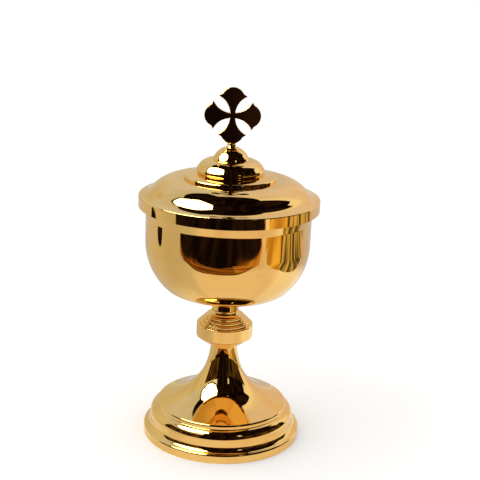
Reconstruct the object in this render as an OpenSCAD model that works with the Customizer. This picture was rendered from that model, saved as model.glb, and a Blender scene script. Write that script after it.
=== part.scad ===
// Covered cup on a turned stem and a spun foot, with a lift-off lid and a plate cross.
// Every turned or spun piece is a profile of straight runs and arcs, revolved about Z.
// Origin: centre of the foot's underside. The cross faces along Y.

/* [Foot] */
// Outside radius of the band that stands on the table
foot_r = 50.4; // [44:0.2:58]
// Height of the straight part of the foot's band
foot_band_h = 4.3; // [3:0.1:8]
// Rounding on the inside of the sheet at the top edge of the band
foot_crease_in = 0.3; // [0.2:0.1:1]
// Heading at which the cove leaves the band, 180 being level and inwards
cove_heading = 166; // [150:1:172]
// Radius of the cove above the band
cove_r = 4.1; // [2.5:0.1:5]
// Height of the straight riser between cove and ovolo
foot_riser_h = 2.8; // [1:0.1:5]
// Radius of the rounded moulding above the riser
ovolo_r = 6.2; // [4:0.1:7]
// Heading at which the rounded moulding ends
ovolo_heading = 162; // [140:1:168]
// Height of the small step at the rim of the trumpet
trumpet_step_h = 1.3; // [0.8:0.1:2.5]
// Rounding on the inside of the sheet at the top of that step
trumpet_edge_in = 0.3; // [0.2:0.1:0.8]
// Rise of the trumpet from its rim to the stem
trumpet_h = 37.8; // [28:0.1:44]
// Heading at the rim of the trumpet
trumpet_heading = 162; // [152:1:168]
// Outside radius at the top of the stem
stem_r = 8.3; // [7.5:0.1:9]
// Thickness of the spun sheet of the foot
foot_wall = 1.1; // [0.8:0.1:1.6]
// Width of the stiffening ring inside the band
foot_ring_w = 4.2; // [3:0.1:6]
// How far the stiffening ring stays below the top of the straight band
foot_ring_drop = 0.2; // [0.1:0.1:1.5]

/* [Stem] */
// Length of the bush inside the stem
bush_l = 12; // [6:0.5:18]
// Largest radius of the knop
knop_r = 17.9; // [15:0.1:21]
// Radius at the bottom of the knop
knop_base_r = 8.9; // [8.4:0.1:11]
// Height of the conical underside of the knop
knop_cone_h = 6.6; // [5:0.1:9]
// Height of the straight band of the knop
knop_band_h = 8.6; // [6:0.1:12]
// Number of stepped rings on the upper side of the knop
knop_steps = 3; // [2:1:4]
// Depth of each ring's tread
knop_tread = 1.9; // [1.4:0.1:2.3]
// Height of each ring's riser
knop_riser = 1.87; // [1.5:0.01:2.4]
// Rounding on the knop's edges
knop_edge_r = 0.8; // [0.4:0.1:1]
// How far the collar stands back from the edge of the knop's top
collar_inset = 1.3; // [0.2:0.1:2]
// Radius of the collar's hollow flare
collar_flare_r = 2.3; // [1.5:0.1:3]
// How far the bead on top of the collar stands out
bead_out = 0.7; // [0.7:0.1:1.2]
// Height of the bead
bead_h = 1; // [0.8:0.1:1.6]
// How far the neck stands back from the bead
neck_inset = 0.5; // [0.5:0.1:1]
// Length of the straight part of the neck
neck_run_l = 3.05; // [1:0.05:5]
// Radius of the hollow arc above it
neck_arc_r = 4.6; // [3.5:0.1:8]
// Heading at which the neck leaves the bead
neck_heading = 97; // [92:1:105]
// Heading at which the neck meets the cup
neck_top_heading = 45; // [35:1:60]

/* [Cup] */
// Outside radius of the cup's straight wall
cup_r = 51.5; // [46:0.5:58]
// Height of the straight wall
cup_wall_h = 16.1; // [8:0.1:30]
// Radius of the belly
belly_r = 40; // [32:0.5:44]
// Slope at which the belly hands over to the tighter arc below it
belly_slope = 46; // [38:1:52]
// Radius of the arc that turns the belly into the base
base_arc_r = 14; // [8:0.5:20]
// Slope of the conical base
base_slope = 14; // [8:0.5:20]
// Radius of the crease where the lip begins to flare
lip_crease_r = 2; // [1:0.1:4]
// Slope of the flare
lip_slope = 13.5; // [10:0.5:20]
// Length of the flare along its slope
lip_l = 8.85; // [5:0.05:12]
// Radius that turns the flare upright again
lip_turn_r = 3; // [2:0.1:5]
// Height of the upright edge of the lip
lip_land_h = 0.8; // [0.4:0.1:2]
// Thickness of the spun sheet of the cup
cup_wall = 1.2; // [0.8:0.1:1.6]

/* [Lid] */
// Gap all round between the cup's lip and the inside of the lid's rim
rim_gap = 1.22; // [0.6:0.01:4]
// Height of the straight part of the rim band
rim_band_h = 6.24; // [4:0.01:9]
// Rounding of the rim band's top edge, which is turned sharper than a fold
rim_edge_r = 0.6; // [0.3:0.1:1.5]
// Rounding inside that edge
rim_crease_in = 0.3; // [0.2:0.1:0.6]
// Slope of the flange above the rim
flange_slope = 11; // [6:1:20]
// Length of the flange along its slope
flange_l = 1; // [1:0.1:4]
// Radius of the lid's hollow cove
lid_cove_r = 10.9; // [8:0.1:14]
// Slope where the cove turns into the crown
cove_slope = 49.5; // [44:0.5:54]
// Radius of the lid's rounded crown
crown_r = 21.05; // [18:0.05:23]
// Thickness of the spun sheet of the lid
lid_wall = 1.2; // [0.8:0.1:1.4]
// Thickness of the bezel's seat and of its skirt
bezel_t = 1.6; // [0.8:0.1:2]
// How far the bezel's seat stops short of the inside of the rim
bezel_inset = 0.9; // [0.5:0.1:1.2]
// How far the bezel's skirt reaches below the flared lip into the cup
bezel_engage = 2.6; // [1.5:0.1:8]

/* [Finial] */
// Width of the level crown left outside the step ring
crown_land = 3.7; // [1:0.1:6]
// Height of the step ring's straight riser
step_riser_h = 0.8; // [0.3:0.1:1.6]
// Rounding of the step ring's edge
step_edge_r = 1.3; // [0.8:0.1:2]
// Slope of the step ring's top
step_slope = 9.5; // [4:0.5:20]
// Width of the step ring outside the cushion
step_w = 8.65; // [7:0.05:10]
// How far the step ring's level seat reaches beyond the cushion
step_seat_out = 0.3; // [0.1:0.1:2]
// Heading at which the cushion's side leaves its seat
cushion_roll_heading = 40; // [30:1:60]
// Radius that rolls the side inwards again
cushion_roll_r = 2.5; // [1.8:0.1:3]
// Slope of the straight side above it
cushion_slope = 55; // [48:1:65]
// Radius of the cushion's rounded shoulder
cushion_arc_r = 8.5; // [6:0.1:9]
// Height of the cushion
cushion_h = 8.4; // [7.5:0.1:10]
// Thickness of the spun sheet of the cushion
cushion_wall = 1.2; // [0.8:0.1:1.6]
// Radius of the cap at its base
cap_r = 11.2; // [8:0.1:12.5]
// Height of the cap, a slice of a sphere
cap_h = 7.8; // [5:0.1:10]
// Radius of the bolt's spool head at its base
spool_r = 3.3; // [3:0.1:4.5]
// Radius of the spool's hollow side
spool_arc_r = 2; // [1.5:0.1:3]
// Heading at the bottom of the spool's hollow side
spool_heading = 140; // [125:1:150]
// Heading at the top of the spool's hollow side
spool_top_heading = 55; // [45:1:70]

/* [Cross] */
// Reach of each arm from the cross's centre
arm_l = 17.2; // [14:0.1:22]
// Width of the arms where they meet
arm_waist_w = 3.2; // [2.6:0.1:4.5]
// Distance of the pointed tips from the arm's centre line
tip_out = 8.6; // [7.4:0.1:9.4]
// How far the pointed tips lie behind the end of the arm
tip_back = 5.5; // [4.5:0.1:6.5]
// Radius of the rounded end of each arm
arm_end_r = 7.1; // [6:0.1:7.4]
// Angle on the rounded end where the slanted shoulders to the tips begin
shoulder_angle = 26; // [18:1:40]
// Thickness of the cross's plate
cross_t = 2; // [1.2:0.1:2.6]
// How far the bottom arm sinks into the spool's slot
cross_sink = 0.7; // [0.3:0.1:1]
// Width of the tenon at the foot of the cross
tenon_w = 2.6; // [1.6:0.1:3.4]
// Length of the tenon below the bottom arm
tenon_l = 0.8; // [0.5:0.1:1.2]

/* [Fasteners] */
// Radius of the tie rod
rod_r = 3; // [2.5:0.5:4]
// Thickness of the cup boss above the rod's socket
socket_web = 1.4; // [0.8:0.1:3]
// Radius of the clamp plate inside the foot
plate_r = 20; // [16:0.5:26]
// Thickness of the clamp plate
plate_t = 2.4; // [1.5:0.1:4]
// Width across the flats of the clamp nut
nut_af = 10; // [9:0.5:13]
// Height of the clamp nut
nut_h = 5; // [4:0.1:6.5]
// Thickness of the spring washer
spring_t = 1.6; // [1:0.1:2]
// Width of the split in the spring washers
spring_gap = 1.2; // [0.8:0.1:2]
// Length of rod or bolt that stands out of its nut
thread_tail = 1.6; // [0.5:0.1:4]
// Radius of the finial bolt's shank
bolt_r = 2; // [1.5:0.1:2.2]
// Radius of the finial washer
finial_washer_r = 6; // [5:0.1:9]
// Thickness of the finial washer
finial_washer_t = 0.8; // [0.5:0.1:1.5]
// Thickness of the finial spring washer
finial_spring_t = 1; // [0.6:0.1:1.4]
// Width across the flats of the finial nut
finial_nut_af = 7; // [6:0.5:9]
// Height of the finial nut
finial_nut_h = 3.2; // [2.4:0.1:4.5]

/* [Fits] */
// Radial gap of a rod or bolt in its hole
bore_gap = 0.08; // [0.03:0.01:0.15]
// Gap between soldered faces
solder_gap = 0.05; // [0.02:0.01:0.1]
// Radial gap of the lid's skirt in the cup
lid_gap = 0.4; // [0.3:0.05:0.8]

/* [Hidden] */
$fn = 96;
gold = "#d8a13c";
steel = "#b9bcc0";
// Largest distance between an arc of a profile and its chords
arc_sag = 0.02;
// Points along the trumpet's curve
curve_steps = 14;
// Length of the curve's two handles as shares of its chord
rim_pull = 0.51;
stem_pull = 0.37;
// Heading where the trumpet's curve ends at the top of the stem
stem_heading = 95.5;
// Heading of the small step at the rim of the trumpet
step_lean_heading = 95;
// Rounding in the corner under a step
quirk_r = 0.2;
// Corner at the rim of the trumpet
trumpet_quirk_r = 0.5;

// Headings along the axis and across it
up_heading = 90;
inward_heading = 180;
outward_heading = 0;

// A profile point is [radius, height, heading], with the material on the left of the heading
function last(path) = path[len(path) - 1];
function xy(path) = [for (p = path) [p.x, p.y]];
function reversed(list) = [for (i = [len(list) - 1 : -1 : 0]) list[i]];
// Straight run along the heading of the point before it
function run(p, l) = [[p.x + l * cos(p.z), p.y + l * sin(p.z), p.z]];
// Arc from the point's heading to another one: a rising heading turns left, towards the axis
function bend(p, r, heading) =
    let (turn = heading - p.z, side = sign(turn), n = max(2, ceil(abs(turn) / 2 / acos(1 - arc_sag / r))))
    let (cx = p.x - side * r * sin(p.z), cy = p.y + side * r * cos(p.z))
    [for (i = [1 : n]) let (h = p.z + turn * i / n) [cx + side * r * sin(h), cy - side * r * cos(h), h]];
// Smooth curve to a point with its own heading
function sweep(p, q) =
    let (chord = norm([q.x - p.x, q.y - p.y]))
    let (a = chord * rim_pull * [cos(p.z), sin(p.z)], b = chord * stem_pull * [cos(q.z), sin(q.z)])
    let (p0 = [p.x, p.y], p1 = p0 + a, p3 = [q.x, q.y], p2 = p3 - b)
    [for (i = [1 : curve_steps]) let (t = i / curve_steps, s = 1 - t)
        let (at = s^3 * p0 + 3 * s^2 * t * p1 + 3 * s * t^2 * p2 + t^3 * p3)
        let (d = s^2 * (p1 - p0) + 2 * s * t * (p2 - p1) + t^2 * (p3 - p2))
        [at.x, at.y, atan2(d.y, d.x)]];
// Profile from a start point and moves: ["run", length], ["bend", radius, heading], ["sweep", point]
function trace(path, moves, i = 0) =
    i == len(moves) ? path :
    let (m = moves[i], p = last(path))
    let (more = m[0] == "run" ? run(p, m[1]) : m[0] == "bend" ? bend(p, m[1], m[2]) : sweep(p, m[1]))
    trace(concat(path, more), moves, i + 1);
// The same profile, moved into the material by the sheet's thickness
function inside(path, wall) = [for (p = path) [p.x - wall * sin(p.z), p.y + wall * cos(p.z), p.z]];
function sheet(path, wall) = concat(xy(path), reversed(xy(inside(path, wall))));
// Closed section of a solid turned piece with a hole along its axis
function turned(path, hole_r) = concat(xy(path), [[hole_r, last(path).y], [hole_r, path[0].y]]);

// Foot
foot_rim_path = trace([[foot_r, 0, up_heading]], [
    ["run", foot_band_h],
    ["bend", foot_crease_in + foot_wall, cove_heading],
    ["bend", cove_r, up_heading],
    ["run", foot_riser_h],
    ["bend", ovolo_r, ovolo_heading],
    ["bend", trumpet_quirk_r, step_lean_heading],
    ["run", trumpet_step_h],
    ["bend", trumpet_edge_in + foot_wall, trumpet_heading]]);
stem_top_z = last(foot_rim_path).y + trumpet_h;
foot_path = trace(foot_rim_path, [["sweep", [stem_r, stem_top_z, stem_heading]]]);
foot_ring_r = foot_r - foot_wall - solder_gap;
foot_ring_h = foot_band_h - foot_ring_drop;

// Stem
hole_r = rod_r + bore_gap;
bush_r = stem_r - foot_wall - solder_gap;
knop_cone_heading = atan2(knop_cone_h, knop_r - knop_base_r);
knop_shoulder_l = knop_edge_r * tan((up_heading - knop_cone_heading) / 2);
knop_cone_l = norm([knop_cone_h, knop_r - knop_base_r]) - knop_shoulder_l;
knop_step_moves = [for (i = [1 : knop_steps]) each [
    ["bend", knop_edge_r, inward_heading],
    ["run", knop_tread - knop_edge_r - quirk_r],
    ["bend", quirk_r, up_heading],
    ["run", knop_riser - knop_edge_r - quirk_r]]];
knop_path = trace([[knop_base_r, stem_top_z, knop_cone_heading]], concat(
    [["run", knop_cone_l],
        ["bend", knop_edge_r, up_heading],
        ["run", knop_band_h - knop_shoulder_l - knop_edge_r]],
    knop_step_moves,
    [["bend", knop_edge_r, inward_heading]]));
collar_z = last(knop_path).y;
collar_flare_heading = 175;
bead_edge_r = bead_h / 4;
collar_r = last(knop_path).x - collar_inset;
collar_flare_path = trace([[collar_r, collar_z, collar_flare_heading]], [
    ["bend", collar_flare_r, up_heading]]);
neck_r = last(collar_flare_path).x + bead_out - neck_inset;
collar_path = trace(collar_flare_path, [
    ["bend", quirk_r, outward_heading],
    ["run", bead_out - quirk_r - bead_edge_r],
    ["bend", bead_edge_r, up_heading],
    ["run", bead_h - 2 * bead_edge_r],
    ["bend", bead_edge_r, inward_heading]]);
boss_z = last(collar_path).y;
boss_path = trace([[neck_r, boss_z, neck_heading]], [
    ["run", neck_run_l],
    ["bend", neck_arc_r, neck_top_heading]]);
boss_r = last(boss_path).x;

// Cup
cup_z = last(boss_path).y;
socket_z = cup_z - socket_web;
belly_reach = belly_r * (1 - sin(belly_slope));
base_arc_reach = base_arc_r * (sin(belly_slope) - sin(base_slope));
base_l = (cup_r - belly_reach - base_arc_reach - boss_r) / cos(base_slope);
cup_path = trace([[boss_r, cup_z, base_slope]], [
    ["run", base_l],
    ["bend", base_arc_r, belly_slope],
    ["bend", belly_r, up_heading],
    ["run", cup_wall_h],
    ["bend", lip_crease_r, up_heading - lip_slope],
    ["run", lip_l],
    ["bend", lip_turn_r, up_heading],
    ["run", lip_land_h]]);
mouth_z = last(cup_path).y;
mouth_r = last(cup_path).x;
lip_h = (lip_crease_r + lip_turn_r) * sin(lip_slope) + lip_l * cos(lip_slope) + lip_land_h;

// Lid: it hangs from the bezel's seat, which rests on the lip
rim_r = mouth_r + rim_gap + lid_wall;
skirt_r = cup_r - cup_wall - lid_gap;
finial_hole_r = bolt_r + bore_gap;
// The lid's moves at a depth below its outer face, where a turned edge becomes an inside corner
function rim_turn_r(depth) = max(rim_edge_r - depth, rim_crease_in);
function rim_trim(depth) =
    (rim_turn_r(depth) + depth - rim_edge_r) * tan((up_heading - flange_slope) / 2);
function rim_moves(depth) = [
    ["run", rim_band_h - rim_trim(depth)],
    ["bend", rim_turn_r(depth), inward_heading - flange_slope]];
function crown_moves(depth) = [
    ["run", flange_l - rim_trim(depth)],
    ["bend", lid_cove_r + depth, inward_heading - cove_slope],
    ["bend", crown_r - depth, inward_heading]];
rim_inside = last(trace([[rim_r - lid_wall, 0, up_heading]], rim_moves(lid_wall)));
bezel_r = rim_inside.x - bezel_inset;
rim_z = mouth_z + bezel_t + solder_gap - rim_inside.y - bezel_inset * tan(flange_slope);
function lid_path(depth) =
    trace([[rim_r - depth, rim_z, up_heading]], concat(rim_moves(depth), crown_moves(depth)));
crown_top = last(lid_path(0));
crown_z = crown_top.y;

// Finial
step_r = crown_top.x - crown_land;
cushion_r = step_r - step_w;
step_seat_r = cushion_r + step_seat_out;
step_edge_path = trace([[step_r, crown_z, up_heading]], [
    ["run", step_riser_h],
    ["bend", step_edge_r, inward_heading - step_slope]]);
step_path = trace(step_edge_path, [["run", (last(step_edge_path).x - step_seat_r) / cos(step_slope)]]);
cushion_z = last(step_path).y;
cushion_roll_h = cushion_roll_r * (cos(cushion_roll_heading) + cos(cushion_slope));
cushion_arc_h = cushion_arc_r * (1 - cos(cushion_slope));
cushion_side_l = (cushion_h - cushion_roll_h - cushion_arc_h) / sin(cushion_slope);
// The sheet starts below the seat and is then cut off level with it
cushion_below_l = 2 * cushion_wall;
cushion_low = run([cushion_r, cushion_z, cushion_roll_heading], -cushion_below_l);
cushion_arc_path = trace(cushion_low, [
    ["run", cushion_below_l],
    ["bend", cushion_roll_r, inward_heading - cushion_slope],
    ["run", cushion_side_l],
    ["bend", cushion_arc_r, inward_heading]]);
cushion_path = trace(cushion_arc_path, [["run", last(cushion_arc_path).x - finial_hole_r]]);
cap_z = cushion_z + cushion_h;
spool_z = cap_z + cap_h;
// Depth of the cap's sphere centre below the cap's base
cap_depth = (cap_r^2 - spool_r^2 - cap_h^2) / (2 * cap_h);
cap_path = trace([[cap_r, cap_z, up_heading + atan2(cap_depth, cap_r)]],
    [["bend", norm([cap_r, cap_depth]), up_heading + atan2(cap_depth + cap_h, spool_r)]]);
spool_path = trace([[spool_r, spool_z, spool_heading]], [["bend", spool_arc_r, spool_top_heading]]);
spool_top_z = last(spool_path).y;
slot_z = spool_top_z - cross_sink - tenon_l;
cross_z = spool_top_z - cross_sink + arm_l;

// Fasteners, from the face that each stack is tightened against
foot_inside = inside(foot_path, foot_wall);
plate_z = lookup(plate_r, xy(foot_inside)) - plate_t - solder_gap;
spring_z = plate_z - spring_t;
nut_z = spring_z - nut_h;
rod_z = nut_z - thread_tail;
rod_l = socket_z - bore_gap - rod_z;
finial_washer_z = crown_z - lid_wall - finial_washer_t;
finial_spring_z = finial_washer_z - finial_spring_t;
finial_nut_z = finial_spring_z - finial_nut_h;
bolt_z = finial_nut_z - thread_tail;

// Parts that several pieces share
module revolved(section) {
    rotate_extrude() polygon(section);
}

module hollow_disc(r, inner_r, h) {
    difference() {
        cylinder(r = r, h = h);
        translate([0, 0, -h]) cylinder(r = inner_r, h = 3 * h);
    }
}

module split_washer(r, inner_r, h) {
    difference() {
        hollow_disc(r, inner_r, h);
        translate([0, -spring_gap / 2, -h]) cube([2 * r, spring_gap, 3 * h]);
    }
}

module hex_nut(af, h, inner_r) {
    difference() {
        cylinder(r = af / 2 / cos(30), h = h, $fn = 6);
        translate([0, 0, -h]) cylinder(r = inner_r, h = 3 * h);
    }
}

// Outline of the cross's upper arm: hollow sides, pointed tips, slanted shoulders and a rounded end
module arm_outline() {
    half = arm_waist_w / 2;
    tip_along = arm_l - tip_back;
    end_y = arm_l - arm_end_r;
    shoulder = [arm_end_r * cos(shoulder_angle), end_y + arm_end_r * sin(shoulder_angle)];
    // Each hollow side is an arc that is upright at the waist and ends at the tip
    side_y = half / 2;
    side_r = ((tip_out - half)^2 + (tip_along - side_y)^2) / (2 * (tip_out - half));
    difference() {
        union() {
            translate([-tip_out, 0]) square([2 * tip_out, tip_along]);
            polygon([[tip_out, tip_along], shoulder, [-shoulder.x, shoulder.y], [-tip_out, tip_along]]);
            translate([0, end_y]) circle(r = arm_end_r);
        }
        for (side = [-1, 1]) translate([side * (half + side_r), side_y]) circle(r = side_r);
        translate([-2 * arm_l, -2 * arm_l]) square([4 * arm_l, 2 * arm_l]);
    }
}

module foot() {
    color(gold) revolved(sheet(foot_path, foot_wall));
}

module foot_ring() {
    color(gold) hollow_disc(foot_ring_r, foot_ring_r - foot_ring_w, foot_ring_h);
}

module stem_bush() {
    color(gold) translate([0, 0, stem_top_z - bush_l]) hollow_disc(bush_r, hole_r, bush_l);
}

module knop() {
    color(gold) revolved(turned(knop_path, hole_r));
}

module upper_collar() {
    color(gold) revolved(turned(collar_path, hole_r));
}

module cup_boss() {
    color(gold) revolved(concat(xy(boss_path), [
        [0, cup_z],
        [0, socket_z],
        [hole_r, socket_z],
        [hole_r, boss_z]]));
}

module cup() {
    base_inside_z = cup_z + cup_wall * cos(base_slope);
    color(gold) revolved(concat([[0, cup_z]], sheet(cup_path, cup_wall), [[0, base_inside_z]]));
}

module tie_rod() {
    color(steel) translate([0, 0, rod_z]) cylinder(r = rod_r, h = rod_l);
}

module clamp_plate() {
    color(steel) translate([0, 0, plate_z]) hollow_disc(plate_r, hole_r, plate_t);
}

module spring_washer() {
    color(steel) translate([0, 0, spring_z]) split_washer(nut_af / 2, hole_r, spring_t);
}

module clamp_nut() {
    color(steel) translate([0, 0, nut_z]) hex_nut(nut_af, nut_h, hole_r);
}

module lid_shell() {
    color(gold) revolved(concat(
        xy(lid_path(0)),
        [[finial_hole_r, crown_z], [finial_hole_r, crown_z - lid_wall]],
        reversed(xy(lid_path(lid_wall)))));
}

module lid_bezel() {
    skirt_z = mouth_z - lip_h - bezel_engage;
    color(gold) revolved([
        [skirt_r - bezel_t, skirt_z],
        [skirt_r, skirt_z],
        [skirt_r, mouth_z],
        [bezel_r, mouth_z],
        [bezel_r, mouth_z + bezel_t],
        [skirt_r - bezel_t, mouth_z + bezel_t]]);
}

module lid_step() {
    color(gold) revolved(turned(step_path, finial_hole_r));
}

module lid_cushion() {
    color(gold) rotate_extrude() intersection() {
        polygon(sheet(cushion_path, cushion_wall));
        translate([0, cushion_z]) square([2 * cushion_r, 2 * cushion_h]);
    }
}

module lid_cap() {
    color(gold) revolved(turned(cap_path, finial_hole_r));
}

module finial_bolt() {
    color(gold) difference() {
        revolved(concat(xy(spool_path), [
            [0, spool_top_z],
            [0, bolt_z],
            [bolt_r, bolt_z],
            [bolt_r, spool_z]]));
        translate([-2 * spool_r, -cross_t / 2 - solder_gap, slot_z])
            cube([4 * spool_r, cross_t + 2 * solder_gap, 2 * (spool_top_z - slot_z)]);
    }
}

module cross() {
    color(gold) translate([0, 0, cross_z]) rotate([90, 0, 0]) linear_extrude(cross_t, center = true) {
        for (turn = [0 : 90 : 270]) rotate(turn) arm_outline();
        square(arm_waist_w, center = true);
        translate([-tenon_w / 2, -arm_l - tenon_l]) square([tenon_w, tenon_l + arm_end_r]);
    }
}

module finial_washer() {
    color(steel) translate([0, 0, finial_washer_z])
        hollow_disc(finial_washer_r, finial_hole_r, finial_washer_t);
}

module finial_spring_washer() {
    color(steel) translate([0, 0, finial_spring_z])
        split_washer(finial_nut_af / 2, finial_hole_r, finial_spring_t);
}

module finial_nut() {
    color(steel) translate([0, 0, finial_nut_z]) hex_nut(finial_nut_af, finial_nut_h, finial_hole_r);
}

foot();
foot_ring();
stem_bush();
knop();
upper_collar();
cup_boss();
cup();
tie_rod();
clamp_plate();
spring_washer();
clamp_nut();
lid_shell();
lid_bezel();
lid_step();
lid_cushion();
lid_cap();
finial_bolt();
cross();
finial_washer();
finial_spring_washer();
finial_nut();
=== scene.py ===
"""Looks of a covered cup: mirror-gilt turned pieces, a plate cross, steel fasteners and a plain studio with
painted reflections and a painted highlight for the metal.
"""

import logging
import math
from dataclasses import dataclass, field
from enum import Enum
from typing import Callable, Sequence

import bmesh
import bpy
from mathutils import Matrix, Quaternion, Vector


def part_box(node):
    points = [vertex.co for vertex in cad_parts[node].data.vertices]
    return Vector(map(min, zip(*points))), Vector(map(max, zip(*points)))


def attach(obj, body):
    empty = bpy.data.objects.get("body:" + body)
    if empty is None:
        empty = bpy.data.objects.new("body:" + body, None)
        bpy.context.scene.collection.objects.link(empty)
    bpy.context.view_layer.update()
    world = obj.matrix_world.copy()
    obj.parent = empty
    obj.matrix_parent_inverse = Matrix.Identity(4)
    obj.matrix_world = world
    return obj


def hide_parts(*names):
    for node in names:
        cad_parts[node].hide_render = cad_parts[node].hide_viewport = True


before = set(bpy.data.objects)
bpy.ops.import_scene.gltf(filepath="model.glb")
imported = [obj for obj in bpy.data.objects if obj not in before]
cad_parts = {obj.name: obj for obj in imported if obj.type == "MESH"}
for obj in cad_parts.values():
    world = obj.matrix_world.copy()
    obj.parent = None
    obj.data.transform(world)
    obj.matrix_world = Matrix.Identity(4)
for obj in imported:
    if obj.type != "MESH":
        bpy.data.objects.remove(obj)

LOG = logging.getLogger("covered_cup")
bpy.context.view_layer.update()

MM = 0.001
IMAGE_PX = 480
SENSOR_MM = 36.0
WAVE_NODE_RATE = 20.0

OUTWARDS = 0.0
DIAGONAL = 45.0
UP = 90.0
INWARDS = 180.0
DOWN = 270.0
QUARTER_TURN = 90.0
HALF_TURN = 180.0
FULL_TURN = 360.0

FACETS_ROUND = 192
ARC_STEP_DEG = 3.0
ARC_STEPS_MIN = 3
SWEEP_STEPS = 60
POINT_DIGITS = 5
POLE_R = 1e-6
SHARP_DEG = 32.0

THREAD_DEPTH = 0.61
ROD_HOLE_R = 3.08
SPLIT_GAP = 1.2

Point = tuple[float, float]
Rgb = tuple[float, float, float]


class Body(Enum):
    """The two rigid bodies that pieces ride on."""

    VESSEL = "vessel"
    LID = "lid"


class Slot(Enum):
    """Material slots of the record."""

    GILT = "gilt_brass"
    STEEL = "steel"


class Side(Enum):
    """Which face of a turned piece a stretch of its outline makes, as a material slot."""

    SHOWN = 0
    HIDDEN = 1


def base_mm(node: str) -> float:
    """Height in millimetres at which a CAD node begins."""
    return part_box(node)[0].z / MM


def top_mm(node: str) -> float:
    """Height in millimetres at which a CAD node ends."""
    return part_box(node)[1].z / MM


def reach_mm(node: str) -> float:
    """Outer radius in millimetres of a turned CAD node."""
    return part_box(node)[1].x / MM


# Outlines


@dataclass(frozen=True)
class Stretch:
    """One facet of an outline, in millimetres, with the heading at each of its ends.

    Attributes:
        start: Radius and height where the facet begins.
        end: Radius and height where it ends.
        start_heading: Direction of travel at the start, with the material on the left.
        end_heading: Direction of travel at the end.
        side: Face of the piece that the facet belongs to.
    """

    start: Point
    end: Point
    start_heading: float
    end_heading: float
    side: Side = Side.SHOWN


@dataclass
class Outline:
    """Open outline of a turned piece, drawn from a start point by runs, bends and sweeps.

    Attributes:
        r: Radius of the start point, in millimetres.
        z: Height of the start point, in millimetres.
        heading: Direction of travel at the start, in degrees.
    """

    r: float
    z: float
    heading: float
    points: list[tuple[float, float, float]] = field(default_factory=list)

    def __post_init__(self) -> None:
        """Begins the list of points with the start point."""
        self.points = [(self.r, self.z, self.heading)]

    @property
    def end(self) -> tuple[float, float, float]:
        """Radius, height and heading where the outline stands now."""
        return self.points[-1]

    def run(self, length: float) -> "Outline":
        """Goes straight on by a length."""
        r, z, h = self.end
        a = math.radians(h)
        self.points.append((r + length * math.cos(a), z + length * math.sin(a), h))
        return self

    def run_to_r(self, r: float) -> "Outline":
        """Goes straight on until a radius is reached."""
        return self.run((r - self.end[0]) / math.cos(math.radians(self.end[2])))

    def turn(self, heading: float) -> "Outline":
        """Turns on the spot, which makes a sharp corner."""
        r, z, _ = self.end
        self.points.append((r, z, heading))
        return self

    def bend(self, radius: float, heading: float) -> "Outline":
        """Goes round an arc.

        Args:
            radius: Radius of the arc, in millimetres.
            heading: Heading at the end of the arc, in degrees.

        Returns:
            The outline itself, so that moves can be chained.
        """
        r, z, h = self.end
        side = math.copysign(1.0, heading - h)
        a = math.radians(h)
        centre = (r - side * radius * math.sin(a), z + side * radius * math.cos(a))
        steps = max(ARC_STEPS_MIN, math.ceil(abs(heading - h) / ARC_STEP_DEG))
        for i in range(1, steps + 1):
            at = h + (heading - h) * i / steps
            b = math.radians(at)
            self.points.append((centre[0] + side * radius * math.sin(b),
                                centre[1] - side * radius * math.cos(b), at))
        return self

    def sweep(self, r: float, z: float, heading: float, pulls: Point) -> "Outline":
        """Goes along a smooth curve to a point.

        Args:
            r: Radius of the curve's end.
            z: Height of the curve's end.
            heading: Heading at the curve's end.
            pulls: Lengths of the two handles, as shares of the chord.

        Returns:
            The outline itself.
        """
        r0, z0, h0 = self.end
        first, last = Vector((r0, z0)), Vector((r, z))
        chord = (last - first).length
        near = first + chord * pulls[0] * heading_vector(h0)
        far = last - chord * pulls[1] * heading_vector(heading)
        for i in range(1, SWEEP_STEPS + 1):
            t = i / SWEEP_STEPS
            s = 1.0 - t
            at = s ** 3 * first + 3 * s * s * t * near + 3 * s * t * t * far + t ** 3 * last
            way = s * s * (near - first) + 2 * s * t * (far - near) + t * t * (last - far)
            self.points.append((at.x, at.y, math.degrees(math.atan2(way.y, way.x))))
        return self

    def stretches(self, side: Side = Side.SHOWN) -> list[Stretch]:
        """Facets between the outline's points, on one face of the piece."""
        return [Stretch(p[:2], q[:2], p[2], q[2], side) for p, q in zip(self.points, self.points[1:])]

    def sheet(self, wall: float) -> list[Stretch]:
        """Closed outline of spun sheet that has this outline as its outer face.

        Args:
            wall: Thickness of the sheet, in millimetres.

        Returns:
            Facets of the outer face, the inner face and the two edges.
        """
        inner = Outline(*self.points[0])
        inner.points = [(r - wall * math.sin(math.radians(h)), z + wall * math.cos(math.radians(h)), h)
                        for r, z, h in self.points]
        return self.shell(inner)

    def shell(self, inner: "Outline") -> list[Stretch]:
        """Closed outline between this outer face and an inner face drawn in the same direction."""
        back = [Stretch(s.end, s.start, s.end_heading + HALF_TURN, s.start_heading + HALF_TURN, Side.HIDDEN)
                for s in reversed(inner.stretches())]
        return [*self.stretches(), edge(self.end, inner.end), *back, edge(inner.points[0], self.points[0])]

    def solid(self, *corners: Point) -> list[Stretch]:
        """Closed outline of a solid piece: this outline, then straight lines through some corners."""
        ring = [self.points[-1][:2], *corners, self.points[0][:2]]
        return [*self.stretches(), *(edge(p, q) for p, q in zip(ring, ring[1:]))]


def heading_vector(heading: float) -> Vector:
    """Unit vector, in radius and height, along a heading in degrees."""
    a = math.radians(heading)
    return Vector((math.cos(a), math.sin(a)))


def edge(start: Sequence[float], end: Sequence[float]) -> Stretch:
    """Straight facet between two points, on the hidden face."""
    h = math.degrees(math.atan2(end[1] - start[1], end[0] - start[0]))
    return Stretch((start[0], start[1]), (end[0], end[1]), h, h, Side.HIDDEN)


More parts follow.
